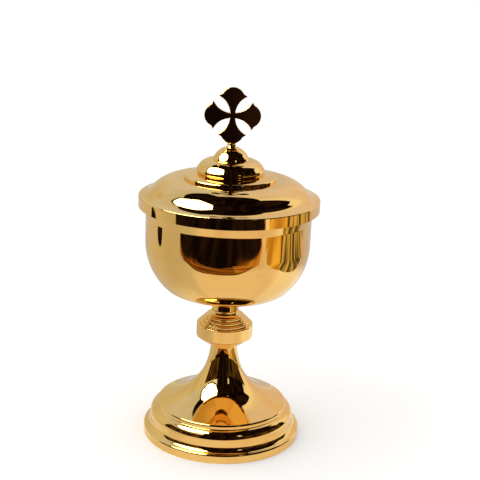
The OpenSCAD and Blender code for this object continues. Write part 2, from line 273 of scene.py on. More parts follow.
def lathe(name: str, outline: Sequence[Stretch], shown: bpy.types.Material,
          hidden: bpy.types.Material) -> bpy.types.Object:
    """Turns a closed outline into a mesh whose normals follow the outline's headings exactly.

    Args:
        name: Name of the new object.
        outline: Facets of the outline, in millimetres.
        shown: Material of the faces on show.
        hidden: Material of the inner and end faces.

    Returns:
        The new object, linked to the scene, with its place in its mesh.
    """
    ways = [(math.cos(a), math.sin(a)) for a in (math.tau * j / FACETS_ROUND for j in range(FACETS_ROUND))]
    verts: list[tuple[float, float, float]] = []
    rings: dict[Point, list[int]] = {}
    faces: list[tuple[int, ...]] = []
    normals: list[tuple[float, float, float]] = []
    slots: list[int] = []

    def ring(at: Point) -> list[int]:
        """Vertex numbers round the axis at one point of the outline, made once."""
        key = (round(at[0], POINT_DIGITS), round(at[1], POINT_DIGITS))
        if key not in rings:
            first = len(verts)
            if at[0] < POLE_R:
                verts.append((0.0, 0.0, at[1] * MM))
                rings[key] = [first] * FACETS_ROUND
            else:
                verts.extend((at[0] * MM * c, at[0] * MM * s, at[1] * MM) for c, s in ways)
                rings[key] = list(range(first, first + FACETS_ROUND))
        return rings[key]

    for part in outline:
        if max(part.start[0], part.end[0]) < POLE_R:
            continue
        low, high = ring(part.start), ring(part.end)
        if low == high:
            continue
        tilt = [math.radians(h) for h in (part.start_heading, part.end_heading)]
        out = [(math.sin(t), -math.cos(t)) for t in tilt]
        for j in range(FACETS_ROUND):
            k = (j + 1) % FACETS_ROUND
            corners = [(low[j], out[0], j), (low[k], out[0], k), (high[k], out[1], k), (high[j], out[1], j)]
            if low[j] == low[k]:
                corners.pop(1)
            if high[j] == high[k]:
                corners.pop(2)
            faces.append(tuple(c[0] for c in corners))
            normals.extend((o[0] * ways[w][0], o[0] * ways[w][1], o[1]) for _, o, w in corners)
            slots.append(part.side.value)

    mesh = bpy.data.meshes.new(name)
    mesh.from_pydata(verts, [], faces)
    mesh.materials.append(shown)
    mesh.materials.append(hidden)
    mesh.polygons.foreach_set("material_index", slots)
    mesh.polygons.foreach_set("use_smooth", [True] * len(faces))
    mesh.normals_split_custom_set(normals)
    return link_object(name, mesh)


def link_object(name: str, mesh: bpy.types.Mesh) -> bpy.types.Object:
    """New object of a mesh, at the origin of the scene."""
    obj = bpy.data.objects.new(name, mesh)
    bpy.context.scene.collection.objects.link(obj)
    return obj


# Finishes


class Nodes:
    """Short way to fill a node tree."""

    def __init__(self, tree: bpy.types.NodeTree) -> None:
        """Empties the tree."""
        self.tree = tree
        tree.nodes.clear()

    def add(self, kind: str, values: dict[str | int, object] | None = None,
            **settings: object) -> bpy.types.Node:
        """Adds a node.

        Args:
            kind: Type name of the node.
            values: Input socket, by name or number, to its value or to an output socket to link.
            **settings: Properties of the node.

        Returns:
            The new node.
        """
        node = self.tree.nodes.new(kind)
        for key, value in settings.items():
            setattr(node, key, value)
        for key, value in (values or {}).items():
            if isinstance(value, bpy.types.NodeSocket):
                self.tree.links.new(value, node.inputs[key])
            else:
                node.inputs[key].default_value = value
        return node

    def calc(self, operation: str, first: object, second: object,
             **settings: object) -> bpy.types.NodeSocket:
        """Result of a sum on sockets or numbers."""
        return self.add("ShaderNodeMath", {0: first, 1: second}, operation=operation, **settings).outputs[0]

    def ramp(self, value: bpy.types.NodeSocket, span: Point, to: Point = (0.0, 1.0)) -> bpy.types.NodeSocket:
        """Maps a span of a value to another span, with soft ends."""
        node = self.add("ShaderNodeMapRange", {0: value, 1: span[0], 2: span[1], 3: to[0], 4: to[1]},
                        interpolation_type="SMOOTHSTEP")
        return node.outputs[0]

    def noise(self, place: bpy.types.NodeSocket, scale: float, detail: float) -> bpy.types.NodeSocket:
        """Noise value at a place."""
        node = self.add("ShaderNodeTexNoise", {"Vector": place, "Scale": scale, "Detail": detail})
        return node.outputs["Fac"]

    def relief(self, height: bpy.types.NodeSocket, depth_mm: float,
               under: bpy.types.NodeSocket | None = None) -> bpy.types.NodeSocket:
        """Adds a shallow relief to a surface.

        Args:
            height: Height of the relief, from 0 to 1.
            depth_mm: Its depth in millimetres.
            under: Normal of the relief that it lies on, if there is one.

        Returns:
            Normal of the surface.
        """
        values = {"Height": height, "Strength": 1.0, "Distance": depth_mm * MM}
        if under is not None:
            values["Normal"] = under
        return self.add("ShaderNodeBump", values).outputs[0]

    def blend(self, share: bpy.types.NodeSocket, first: Rgb, second: Rgb) -> bpy.types.NodeSocket:
        """Mixes two colours by a share."""
        node = self.add("ShaderNodeMix", {0: share, 6: (*first, 1.0), 7: (*second, 1.0)}, data_type="RGBA")
        return node.outputs[2]


def new_material(name: str) -> tuple[bpy.types.Material, Nodes]:
    """New node material and its emptied tree."""
    material = bpy.data.materials.new(name)
    material.use_nodes = True
    return material, Nodes(material.node_tree)


@dataclass(frozen=True)
class MetalFinish:
    """A metal surface with turning lines, slight waves and smudges.

    Attributes:
        name: Name of the material.
        colour: Main colour.
        deep: Colour of the patches that have mellowed.
        polish: Roughness of the clean metal.
        smudge: Roughness where it has been handled.
        line_mm: Distance between turning lines.
        line_depth_mm: Depth of the turning lines.
        wave_mm: Depth of the slow waves that polishing leaves.
        patches: How many mellowed patches there are to a metre.
        smudges: How many handled places there are to a metre.
        waves: How many slow waves there are to a metre.
    """

    name: str
    colour: Rgb
    deep: Rgb
    polish: float
    smudge: float
    line_mm: float
    line_depth_mm: float
    wave_mm: float
    patches: float = 22.0
    smudges: float = 55.0
    waves: float = 38.0

    def build(self) -> bpy.types.Material:
        """Makes the material.

        Returns:
            A node material on object coordinates.
        """
        material, nodes = new_material(self.name)
        place = nodes.add("ShaderNodeTexCoord").outputs["Object"]
        mellow = nodes.ramp(nodes.noise(place, self.patches, detail=3.0), span=(0.42, 0.68))
        handled = nodes.ramp(nodes.noise(place, self.smudges, detail=5.0), span=(0.52, 0.74),
                             to=(self.polish, self.smudge))
        lines = nodes.add("ShaderNodeTexWave", {
            "Vector": place, "Scale": math.tau / (WAVE_NODE_RATE * self.line_mm * MM),
            "Distortion": 0.6, "Detail": 1.0, "Detail Scale": 0.3}, wave_type="BANDS", bands_direction="Z")
        waved = nodes.relief(nodes.noise(place, self.waves, detail=1.0), self.wave_mm)
        shader = nodes.add("ShaderNodeBsdfPrincipled", {
            "Base Color": nodes.blend(mellow, self.colour, self.deep), "Metallic": 1.0, "Roughness": handled,
            "Normal": nodes.relief(lines.outputs["Fac"], self.line_depth_mm, waved)})
        nodes.add("ShaderNodeOutputMaterial", {"Surface": shader.outputs[0]})
        return material


MIRROR_GILT = MetalFinish("mirror_gilt", (0.900, 0.585, 0.190), (0.87, 0.54, 0.165), polish=0.035,
                          smudge=0.075, line_mm=0.9, line_depth_mm=0.0004, wave_mm=0.012)
SATIN_GILT = MetalFinish("satin_gilt", (0.80, 0.50, 0.17), (0.72, 0.42, 0.13), polish=0.22,
                         smudge=0.34, line_mm=0.45, line_depth_mm=0.004, wave_mm=0.02)
ZINC_STEEL = MetalFinish("zinc_steel", (0.60, 0.61, 0.62), (0.48, 0.49, 0.50), polish=0.24,
                         smudge=0.40, line_mm=0.6, line_depth_mm=0.002, wave_mm=0.01)


def place_piece(piece: bpy.types.Object, body: Body, slot: Slot, *nodes: str) -> None:
    """Puts a finished piece on its body in place of CAD nodes, and reports it.

    Args:
        piece: The finished object.
        body: Body that it moves with.
        slot: Material slot of the record; not used.
        *nodes: CAD nodes that it stands for.
    """
    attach(piece, body.value)
    if nodes:
        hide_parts(*nodes)
    LOG.info("%s: %d faces on %s", piece.name, len(piece.data.polygons), body.value)


# Small fittings


class SolidTree:
    """A geometry node tree with named sizes, turned into plain meshes on demand."""

    def __init__(self, name: str, *sizes: str) -> None:
        """Starts the tree.

        Args:
            name: Name of the tree.
            *sizes: Names of its sizes, in metres.
        """
        self.tree = bpy.data.node_groups.new(name, "GeometryNodeTree")
        self.nodes = Nodes(self.tree)
        for size in sizes:
            self.tree.interface.new_socket(size, in_out="INPUT", socket_type="NodeSocketFloat")
        self.tree.interface.new_socket("Metal", in_out="INPUT", socket_type="NodeSocketMaterial")
        self.tree.interface.new_socket("Solid", in_out="OUTPUT", socket_type="NodeSocketGeometry")
        self.inputs = self.nodes.add("NodeGroupInput").outputs

    def sweep(self, path: bpy.types.NodeSocket, section: bpy.types.NodeSocket,
              height: bpy.types.NodeSocket) -> None:
        """Ends the tree with a section swept along a path and lifted to a height."""
        add = self.nodes.add
        level = add("GeometryNodeSetCurveNormal", {"Curve": path}, mode="Z_UP")
        solid = add("GeometryNodeCurveToMesh", {
            "Curve": level.outputs[0], "Profile Curve": section, "Fill Caps": True})
        lift = add("ShaderNodeCombineXYZ", {"Z": height})
        moved = add("GeometryNodeTransform", {"Geometry": solid.outputs[0], "Translation": lift.outputs[0]})
        plain = add("GeometryNodeRealizeInstances", {"Geometry": moved.outputs[0]})
        metal = add("GeometryNodeSetMaterial", {
            "Geometry": plain.outputs[0], "Material": self.inputs["Metal"]})
        add("NodeGroupOutput", {0: metal.outputs[0]})

    def make(self, name: str, metal: bpy.types.Material, **sizes_mm: float) -> bpy.types.Object:
        """Makes one plain mesh object.

        Args:
            name: Name of the object.
            metal: Its finish.
            **sizes_mm: The tree's sizes by name, in millimetres.

        Returns:
            The new object, with no modifier left on it.
        """
        obj = link_object(name, bpy.data.meshes.new(name))
        modifier = obj.modifiers.new(name, "NODES")
        modifier.node_group = self.tree
        for item in self.tree.interface.items_tree:
            if item.in_out == "INPUT":
                modifier[item.identifier] = metal if item.name == "Metal" else sizes_mm[item.name] * MM
        mesh = bpy.data.meshes.new_from_object(obj.evaluated_get(bpy.context.evaluated_depsgraph_get()))
        obj.modifiers.remove(modifier)
        obj.data = mesh
        smooth_by_angle(mesh)
        return obj


def smooth_by_angle(mesh: bpy.types.Mesh) -> None:
    """Shades a mesh smooth, with its real edges kept sharp."""
    mesh.shade_smooth()
    mesh.set_sharp_from_angle(angle=math.radians(SHARP_DEG))


class ThreadTree(SolidTree):
    """Screw thread: a pointed ridge wound round an axis."""

    RIDGE_SHARE = 0.49
    RIDGE_CORNERS = 3
    STEPS_ROUND = 48

    def __init__(self) -> None:
        """Winds the ridge so that its crest is at the thread's radius."""
        sizes = ("radius", "pitch", "length", "base")
        super().__init__("screw_thread", *sizes)
        radius, pitch, length, base = (self.inputs[size] for size in sizes)
        add, calc = self.nodes.add, self.nodes.calc
        ridge = calc("MULTIPLY", pitch, self.RIDGE_SHARE)
        rise = calc("SUBTRACT", length, pitch)
        path_r = calc("SUBTRACT", radius, ridge)
        spiral = add("GeometryNodeCurveSpiral", {
            "Resolution": self.STEPS_ROUND, "Rotations": calc("DIVIDE", rise, pitch),
            "Start Radius": path_r, "End Radius": path_r, "Height": rise})
        section = add("GeometryNodeCurvePrimitiveCircle", {"Resolution": self.RIDGE_CORNERS, "Radius": ridge})
        middle = calc("ADD", base, calc("MULTIPLY", pitch, 0.5))
        self.sweep(spiral.outputs[0], section.outputs[0], middle)


class SplitRingTree(SolidTree):
    """Spring washer: a square-edged ring with a split."""

    STEPS_ROUND = 96

    def __init__(self) -> None:
        """Bends the ring with its split towards +X."""
        sizes = ("radius", "width", "height", "gap", "base")
        super().__init__("split_ring", *sizes)
        radius, width, height, gap, base = (self.inputs[size] for size in sizes)
        add, calc = self.nodes.add, self.nodes.calc
        turn = calc("DIVIDE", gap, radius)
        arc = add("GeometryNodeCurveArc", {
            "Resolution": self.STEPS_ROUND, "Radius": radius, "Start Angle": calc("MULTIPLY", turn, 0.5),
            "Sweep Angle": calc("SUBTRACT", math.tau, turn)}, mode="RADIUS")
        section = add("GeometryNodeCurvePrimitiveQuadrilateral", {"Width": width, "Height": height})
        self.sweep(arc.outputs[0], section.outputs[0], base)


@dataclass(frozen=True)
class HexNut:
    """Hexagon nut with chamfered corners.

    Attributes:
        flats: Width across the flats, in millimetres.
        hole_r: Radius of its hole.
        low: Height of its lower face.
        high: Height of its upper face.
        face_share: Radius of its flat faces, as a share of half its width.
        chamfer_deg: Slope of its chamfers.
        facets: Facets round its hole.
    """

    SIDES = 6

    flats: float
    hole_r: float
    low: float
    high: float
    face_share: float = 0.95
    chamfer_deg: float = 30.0
    facets: int = 96

    def build(self, name: str, metal: bpy.types.Material) -> bpy.types.Object:
        """Makes the nut as rings of corners round its axis."""
        apothem = self.flats / 2.0
        face_r = apothem * self.face_share
        fall = math.tan(math.radians(self.chamfer_deg))
        sector = math.tau / self.SIDES
        angles = [math.tau * j / self.facets for j in range(self.facets)]
        sections = []
        for angle in angles:
            side_r = apothem / math.cos(angle % sector - sector / 2.0)
            drop = (side_r - face_r) * fall
            sections.append(((self.hole_r, self.low), (face_r, self.low), (side_r, self.low + drop),
                             (side_r, self.high - drop), (face_r, self.high), (self.hole_r, self.high)))
        rings = list(zip(*sections))
        verts = [(r * MM * math.cos(a), r * MM * math.sin(a), z * MM)
                 for ring in rings for (r, z), a in zip(ring, angles)]
        starts = [i * self.facets for i in range(len(rings))]
        nexts = [*range(1, self.facets), 0]
        faces = [(low + j, low + k, high + k, high + j)
                 for low, high in zip(starts, [*starts[1:], starts[0]]) for j, k in enumerate(nexts)]
        mesh = bpy.data.meshes.new(name)
        mesh.from_pydata(verts, [], faces)
        mesh.materials.append(metal)
        smooth_by_angle(mesh)
        return link_object(name, mesh)


def flat_ring(outer_r: float, inner_r: float, low: float, high: float, soft: float) -> list[Stretch]:
    """Closed outline of a flat ring with softened edges.

    Args:
        outer_r: Outer radius, in millimetres.
        inner_r: Radius of its hole.
        low: Height of its lower face.
        high: Height of its upper face.
        soft: Radius of the softened edges.

    Returns:
        Facets of the outline.
    """
    ring = Outline(outer_r, low + soft, UP)
    for length in (high - low, outer_r - inner_r, high - low, outer_r - inner_r):
        ring.run(length - 2.0 * soft).bend(soft, ring.end[2] + QUARTER_TURN)
    return ring.stretches()


def threaded_shank(radius: float, pitch: float, chamfer: float, low: float, thread_top: float) -> Outline:
    """Starts the outline of a rod or a bolt, cut down to its thread's core at the lower end.

    Args:
        radius: Radius of the shank, in millimetres.
        pitch: Pitch of its thread.
        chamfer: Width of the chamfer at its lower end.
        low: Height of its lower end.
        thread_top: Height at which the thread ends.

    Returns:
        The outline, at the top of the thread and heading up along the shank.
    """
    outline = Outline(radius - THREAD_DEPTH * pitch - chamfer, low, DIAGONAL)
    outline.run(chamfer * math.sqrt(2.0)).turn(UP).run(thread_top - low - chamfer)
    return outline.turn(OUTWARDS).run_to_r(radius).turn(UP)


@dataclass
class Workshop:
    """Finishes that the pieces share, each made once, and the making of turned pieces and fasteners."""

    mirror: bpy.types.Material = field(default_factory=MIRROR_GILT.build)
    satin: bpy.types.Material = field(default_factory=SATIN_GILT.build)
    steel: bpy.types.Material = field(default_factory=ZINC_STEEL.build)
    thread_tree: ThreadTree = field(default_factory=ThreadTree)
    split_tree: SplitRingTree = field(default_factory=SplitRingTree)

    def polished(self, name: str, outline: Sequence[Stretch], body: Body, node: str) -> None:
        """Places a turned piece that is mirror gilt outside and satin gilt inside."""
        place_piece(lathe(name, outline, self.mirror, self.satin), body, Slot.GILT, node)

    def plain(self, name: str, outline: Sequence[Stretch], body: Body, slot: Slot, node: str) -> None:
        """Places a turned piece that is steel or satin gilt all over."""
        metal = self.steel if slot is Slot.STEEL else self.satin
        place_piece(lathe(name, outline, metal, metal), body, slot, node)

    def ring(self, node: str, body: Body, inner_r: float, soft: float, slot: Slot) -> None:
        """Places a flat ring as wide and high as its node."""
        section = flat_ring(reach_mm(node), inner_r, base_mm(node), top_mm(node), soft)
        self.plain(f"{node}_ring", section, body, slot, node)

    def nut(self, node: str, body: Body, hole_r: float) -> None:
        """Places a hexagon nut as wide and high as its node."""
        nut = HexNut(2.0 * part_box(node)[1].y / MM, hole_r, base_mm(node), top_mm(node))
        place_piece(nut.build(f"{node}_hexagon", self.steel), body, Slot.STEEL, node)

    def split_ring(self, node: str, body: Body, hole_r: float) -> None:
        """Places a spring washer as wide and high as its node."""
        low, high = base_mm(node), top_mm(node)
        outer_r = -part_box(node)[0].x / MM
        ring = self.split_tree.make(f"{node}_spring", self.steel, radius=(outer_r + hole_r) / 2.0,
                                    width=outer_r - hole_r, height=high - low, gap=SPLIT_GAP,
                                    base=(low + high) / 2.0)
        place_piece(ring, body, Slot.STEEL, node)

    def thread(self, name: str, body: Body, slot: Slot, radius: float, pitch: float, low: float,
               high: float) -> None:
        """Places a screw thread on a rod or a bolt, in millimetres."""
        metal = self.steel if slot is Slot.STEEL else self.mirror
        thread = self.thread_tree.make(name, metal, radius=radius, pitch=pitch, length=high - low, base=low)
        place_piece(thread, body, slot)


# Pieces


@dataclass
class Foot:
    """Spun foot that runs up into the stem, with its bush, and the steel that clamps it."""

    shop: Workshop
    band_r: float = 50.4
    band_h: float = 4.3
    crease_r: float = 1.4
    cove_heading: float = 166.0
    cove_r: float = 4.1
    riser_h: float = 2.8
    ovolo_r: float = 6.2
    ovolo_heading: float = 162.0
    quirk_r: float = 0.5
    step_heading: float = 95.0
    step_h: float = 1.3
    edge_r: float = 1.4
    trumpet_heading: float = 162.0
    trumpet_pulls: Point = (0.51, 0.37)
    stem_heading: float = 95.5
    stem_r: float = 8.3
    wall: float = 1.1
    ring_w: float = 4.2
    ring_soft: float = 0.4
    bush_soft: float = 0.3
    rod_r: float = 3.0
    rod_pitch: float = 1.0
    rod_chamfer: float = 0.4

    def shell(self) -> None:
        """Builds the spun shell from the band to the top of the stem."""
        outline = Outline(self.band_r, 0.0, UP).run(self.band_h).bend(self.crease_r, self.cove_heading)
        outline.bend(self.cove_r, UP).run(self.riser_h).bend(self.ovolo_r, self.ovolo_heading)
        outline.bend(self.quirk_r, self.step_heading).run(self.step_h)
        outline.bend(self.edge_r, self.trumpet_heading)
        outline.sweep(self.stem_r, top_mm("foot"), self.stem_heading, self.trumpet_pulls)
        self.shop.polished("foot_shell", outline.sheet(self.wall), Body.VESSEL, "foot")

    def rod(self) -> None:
        """Builds the tie rod with a thread on its lower end."""
        low, high, thread_top = base_mm("tie_rod"), top_mm("tie_rod"), top_mm("clamp_nut")
        outline = threaded_shank(self.rod_r, self.rod_pitch, self.rod_chamfer, low, thread_top)
        ring = outline.run(high - thread_top).solid((0.0, high), (0.0, low))
        self.shop.plain("tie_rod_core", ring, Body.VESSEL, Slot.STEEL, "tie_rod")
        self.shop.thread("tie_rod_thread", Body.VESSEL, Slot.STEEL, self.rod_r, self.rod_pitch, low,
                         thread_top)

    def clamp(self) -> None:
        """Places the bush in the stem, the stiffening ring, and the plate, washer and nut on the rod."""
        ring_in = reach_mm("foot_ring") - self.ring_w
        self.shop.ring("stem_bush", Body.VESSEL, ROD_HOLE_R, self.bush_soft, Slot.GILT)
        self.shop.ring("foot_ring", Body.VESSEL, ring_in, self.ring_soft, Slot.GILT)
        self.shop.ring("clamp_plate", Body.VESSEL, ROD_HOLE_R, self.ring_soft, Slot.STEEL)
        self.shop.split_ring("spring_washer", Body.VESSEL, ROD_HOLE_R)
        self.shop.nut("clamp_nut", Body.VESSEL, ROD_HOLE_R)


@dataclass
class Stem:
    """Knop with stepped rings, collar with a bead, and the hollow neck under the cup."""

    shop: Workshop
    knop_r: float = 17.9
    knop_base_r: float = 8.9
    knop_cone_h: float = 6.6
    knop_band_h: float = 8.6
    knop_steps: int = 3
    knop_tread: float = 1.9
    knop_riser: float = 1.87
    knop_edge_r: float = 0.8
    quirk_r: float = 0.2
    collar_inset: float = 1.3
    collar_heading: float = 175.0
    collar_flare_r: float = 2.3
    bead_out: float = 0.7
    bead_h: float = 1.0
    neck_inset: float = 0.5
    neck_run_l: float = 3.05
    neck_arc_r: float = 4.6
    neck_heading: float = 97.0
    neck_top_heading: float = 45.0

    def knop(self) -> float:
        """Builds the knop.

        Returns:
            Radius at the edge of its level top.
        """
        reach = self.knop_r - self.knop_base_r
        slope = math.degrees(math.atan2(self.knop_cone_h, reach))
        shoulder = self.knop_edge_r * math.tan(math.radians((UP - slope) / 2.0))
        outline = Outline(self.knop_base_r, base_mm("knop"), slope)
        outline.run(math.hypot(reach, self.knop_cone_h) - shoulder).bend(self.knop_edge_r, UP)
        outline.run(self.knop_band_h - shoulder - self.knop_edge_r)
        for _ in range(self.knop_steps):
            outline.bend(self.knop_edge_r, INWARDS).run(self.knop_tread - self.knop_edge_r - self.quirk_r)
            outline.bend(self.quirk_r, UP).run(self.knop_riser - self.knop_edge_r - self.quirk_r)
        top_r = outline.bend(self.knop_edge_r, INWARDS).end[0]
        self._turned("stem_knop", outline, "knop")
        return top_r

    def collar(self, top_r: float) -> float:
        """Builds the collar and its bead.

        Args:
            top_r: Radius at the edge of the knop's level top.

        Returns:
            Radius at which the neck starts.
        """
        bead_edge_r = self.bead_h / 4.0
        outline = Outline(top_r - self.collar_inset, base_mm("upper_collar"), self.collar_heading)
        outline.bend(self.collar_flare_r, UP)
        neck_r = outline.end[0] + self.bead_out - self.neck_inset
        outline.bend(self.quirk_r, OUTWARDS).run(self.bead_out - self.quirk_r - bead_edge_r)
        outline.bend(bead_edge_r, UP).run(self.bead_h - 2.0 * bead_edge_r).bend(bead_edge_r, INWARDS)
        self._turned("stem_collar", outline, "upper_collar")
        return neck_r

    def neck(self, neck_r: float) -> None:
        """Builds the hollow-sided neck on a start radius."""
        outline = Outline(neck_r, base_mm("cup_boss"), self.neck_heading)
        outline.run(self.neck_run_l).bend(self.neck_arc_r, self.neck_top_heading).turn(INWARDS)
        self._turned("stem_neck", outline, "cup_boss")

    def _turned(self, name: str, outline: Outline, node: str) -> None:
        """Takes an outline on to the rod's hole, turns it and places it."""
        ring = outline.run_to_r(ROD_HOLE_R).solid((ROD_HOLE_R, outline.z))
        self.shop.polished(name, ring, Body.VESSEL, node)


@dataclass
class Cup:
    """Spun cup with a straight wall and a flared lip."""

    shop: Workshop
    wall_r: float = 51.5
    wall_h: float = 16.1
    belly_r: float = 40.0
    belly_slope: float = 46.0
    base_arc_r: float = 14.0
    base_slope: float = 14.0
    lip_crease_r: float = 2.0
    lip_slope: float = 13.5
    lip_l: float = 8.85
    lip_turn_r: float = 3.0
    lip_land_h: float = 0.8
    wall: float = 1.2

    def bowl(self) -> None:
        """Builds the bowl, level under its middle where the neck carries it."""
        base_r, base_z = reach_mm("cup_boss"), base_mm("cup")
        belly, base = (math.sin(math.radians(slope)) for slope in (self.belly_slope, self.base_slope))
        reach = self.belly_r * (1.0 - belly) + self.base_arc_r * (belly - base)
        outline = Outline(base_r, base_z, self.base_slope)
        outline.run_to_r(self.wall_r - reach).bend(self.base_arc_r, self.belly_slope).bend(self.belly_r, UP)
        outline.run(self.wall_h).bend(self.lip_crease_r, UP - self.lip_slope).run(self.lip_l)
        outline.bend(self.lip_turn_r, UP).run(self.lip_land_h)
        skin = outline.sheet(self.wall)[:-1]
        inner_z = skin[-1].end[1]
        ring = [skin[-1].end, (0.0, inner_z), (0.0, base_z), (base_r, base_z)]
        middle = [edge(p, q) for p, q in zip(ring, ring[1:])]
        self.shop.polished("cup_bowl", [*skin, *middle], Body.VESSEL, "cup")


@dataclass
class Lid:
    """Spun lid with its bezel, and the turned tiers of its finial."""

    shop: Workshop
    rim_band_h: float = 6.24
    rim_edge_r: float = 0.6
    rim_crease_r: float = 0.3
    flange_slope: float = 11.0
    flange_l: float = 1.0
    cove_r: float = 10.9
    cove_slope: float = 49.5
    crown_r: float = 21.05
    crown_land: float = 3.7
    wall: float = 1.2
    hole_r: float = 2.08
    step_riser_h: float = 0.8
    step_edge_r: float = 1.3
    step_slope: float = 9.5
    step_w: float = 8.65
    step_seat_out: float = 0.3
    roll_heading: float = 40.0
    roll_r: float = 2.5
    cushion_slope: float = 55.0
    cushion_arc_r: float = 8.5
    cushion_h: float = 8.4
    cushion_wall: float = 1.2
    cap_r: float = 11.2
    cap_h: float = 7.8
    spool_r: float = 3.3
    spool_arc_r: float = 2.0
    spool_heading: float = 140.0
    spool_top_heading: float = 55.0
    slot_w: float = 2.1
    slot_depth: float = 1.5
    bolt_r: float = 2.0
    bolt_pitch: float = 0.7
    skirt_r: float = 49.9
    bezel_t: float = 1.6
    soft: float = 0.3
    washer_soft: float = 0.15

    def face(self, depth: float) -> Outline:
        """Draws one face of the lid's sheet as far as the level crown.

        Args:
            depth: Depth of the face below the outer one, in millimetres.

        Returns:
            The face, from the rim's lower edge to the crown.
        """
        turn_r = max(self.rim_edge_r - depth, self.rim_crease_r)
        trim = (turn_r + depth - self.rim_edge_r) * math.tan(math.radians((UP - self.flange_slope) / 2.0))
        outline = Outline(reach_mm("lid_shell") - depth, base_mm("lid_shell"), UP).run(self.rim_band_h - trim)
        outline.bend(turn_r, INWARDS - self.flange_slope).run(self.flange_l - trim)
        outline.bend(self.cove_r + depth, INWARDS - self.cove_slope)
        return outline.bend(self.crown_r - depth, INWARDS)

    def shell(self) -> float:
        """Builds the lid's shell.

        Returns:
            Radius at which its level crown begins.
        """
        outer, inner = self.face(0.0), self.face(self.wall)
        crown_r = outer.end[0]
        ring = outer.run_to_r(self.hole_r).shell(inner.run_to_r(self.hole_r))
        self.shop.polished("lid_crown", ring, Body.LID, "lid_shell")
        return crown_r

    def bezel(self) -> None:
        """Builds the bezel: a seat that rests on the cup's lip, and a skirt that reaches into the cup."""
        low, high = base_mm("lid_bezel"), top_mm("lid_bezel")
        soft, wall = self.soft, self.bezel_t
        outline = Outline(self.skirt_r, low + soft, UP).run(high - wall - low - soft)
        outline.turn(OUTWARDS).run_to_r(reach_mm("lid_bezel") - soft).bend(soft, UP)
        outline.run(wall - 2.0 * soft).bend(soft, INWARDS).run_to_r(self.skirt_r - wall + soft)
        outline.bend(soft, DOWN).run(high - low - 2.0 * soft).bend(soft, OUTWARDS + FULL_TURN)
        outline.run(wall - 2.0 * soft).bend(soft, UP + FULL_TURN)
        self.shop.plain("lid_bezel_turned", outline.stretches(), Body.LID, Slot.GILT, "lid_bezel")

    def tiers(self, crown_r: float) -> None:
        """Builds the step ring, the cushion and the cap.

        Args:
            crown_r: Radius at which the lid's level crown begins.
        """
        step_r = crown_r - self.crown_land
        cushion_r = step_r - self.step_w
        step = Outline(step_r, base_mm("lid_step"), UP).run(self.step_riser_h)
        step.bend(self.step_edge_r, INWARDS - self.step_slope).run_to_r(cushion_r + self.step_seat_out)
        step.turn(INWARDS).run_to_r(self.hole_r)
        self.shop.polished("lid_step_ring", step.solid((self.hole_r, step.z)), Body.LID, "lid_step")

        ring = self.cushion_face(cushion_r, 0.0).shell(self.cushion_face(cushion_r, self.cushion_wall))
        self.shop.polished("lid_cushion_tier", ring, Body.LID, "lid_cushion")

        depth = (self.cap_r ** 2 - self.spool_r ** 2 - self.cap_h ** 2) / (2.0 * self.cap_h)
        start, end = (UP + math.degrees(math.atan2(rise, reach))
                      for rise, reach in ((depth, self.cap_r), (depth + self.cap_h, self.spool_r)))
        cap = Outline(self.cap_r, base_mm("lid_cap"), start).bend(math.hypot(self.cap_r, depth), end)
        cap.turn(INWARDS).run_to_r(self.hole_r)
        self.shop.polished("lid_cap_dome", cap.solid((self.hole_r, cap.z)), Body.LID, "lid_cap")

    def cushion_face(self, base_r: float, depth: float) -> Outline:
        """Draws one face of the cushion's sheet, from its base to the bolt's hole.

        Args:
            base_r: Radius of the cushion at its base, in millimetres.
            depth: Depth of the face below the outer one, in millimetres.

        Returns:
            The face: a rolled-under edge, a straight side, a rounded shoulder and a level top.
        """
        roll, slope = math.radians(self.roll_heading), math.radians(self.cushion_slope)
        rise = self.cushion_h - self.roll_r * (math.cos(roll) + math.cos(slope))
        rise -= self.cushion_arc_r * (1.0 - math.cos(slope))
        face = Outline(base_r - depth / math.sin(roll), base_mm("lid_cushion"), self.roll_heading)
        face.run(depth / math.tan(roll)).bend(self.roll_r - depth, INWARDS - self.cushion_slope)
        face.run(rise / math.sin(slope)).bend(self.cushion_arc_r - depth, INWARDS)
        return face.run_to_r(self.hole_r)

    def bolt(self) -> None:
        """Builds the bolt: a hollow-sided head, slotted for the cross, and a shank with a thread."""
        low, high = base_mm("finial_bolt"), top_mm("finial_bolt")
        thread_top, head_z = top_mm("finial_nut"), top_mm("lid_cap")
        outline = threaded_shank(self.bolt_r, self.bolt_pitch, self.soft, low, thread_top)
        outline.run(head_z - thread_top).turn(OUTWARDS).run_to_r(self.spool_r).turn(self.spool_heading)
        ring = outline.bend(self.spool_arc_r, self.spool_top_heading).solid((0.0, high), (0.0, low))
        bolt = lathe("finial_bolt_turned", ring, self.shop.mirror, self.shop.mirror)
        self._slot(bolt, high)
        place_piece(bolt, Body.LID, Slot.GILT, "finial_bolt")
        self.shop.thread("finial_bolt_thread", Body.LID, Slot.GILT, self.bolt_r, self.bolt_pitch, low,
                         thread_top)

    def _slot(self, bolt: bpy.types.Object, top: float) -> None:
        """Cuts the cross's slot into the bolt's head."""
        cutter = bmesh.new()
        bmesh.ops.create_cube(cutter, size=1.0)
        size = Vector((4.0 * self.spool_r, self.slot_w, 2.0 * self.slot_depth))
        for vert in cutter.verts:
            vert.co = MM * (vert.co * size + Vector((0.0, 0.0, top)))
        mesh = bpy.data.meshes.new("slot_cutter")
        cutter.to_mesh(mesh)
        cutter.free()
        tool = link_object("slot_cutter", mesh)
        cut = bolt.modifiers.new("slot", "BOOLEAN")
        cut.object = tool
        cut.solver = "EXACT"
        slotted = bpy.data.meshes.new_from_object(bolt.evaluated_get(bpy.context.evaluated_depsgraph_get()))
        bolt.modifiers.remove(cut)
        bolt.data = slotted
        bpy.data.objects.remove(tool)
        smooth_by_angle(slotted)

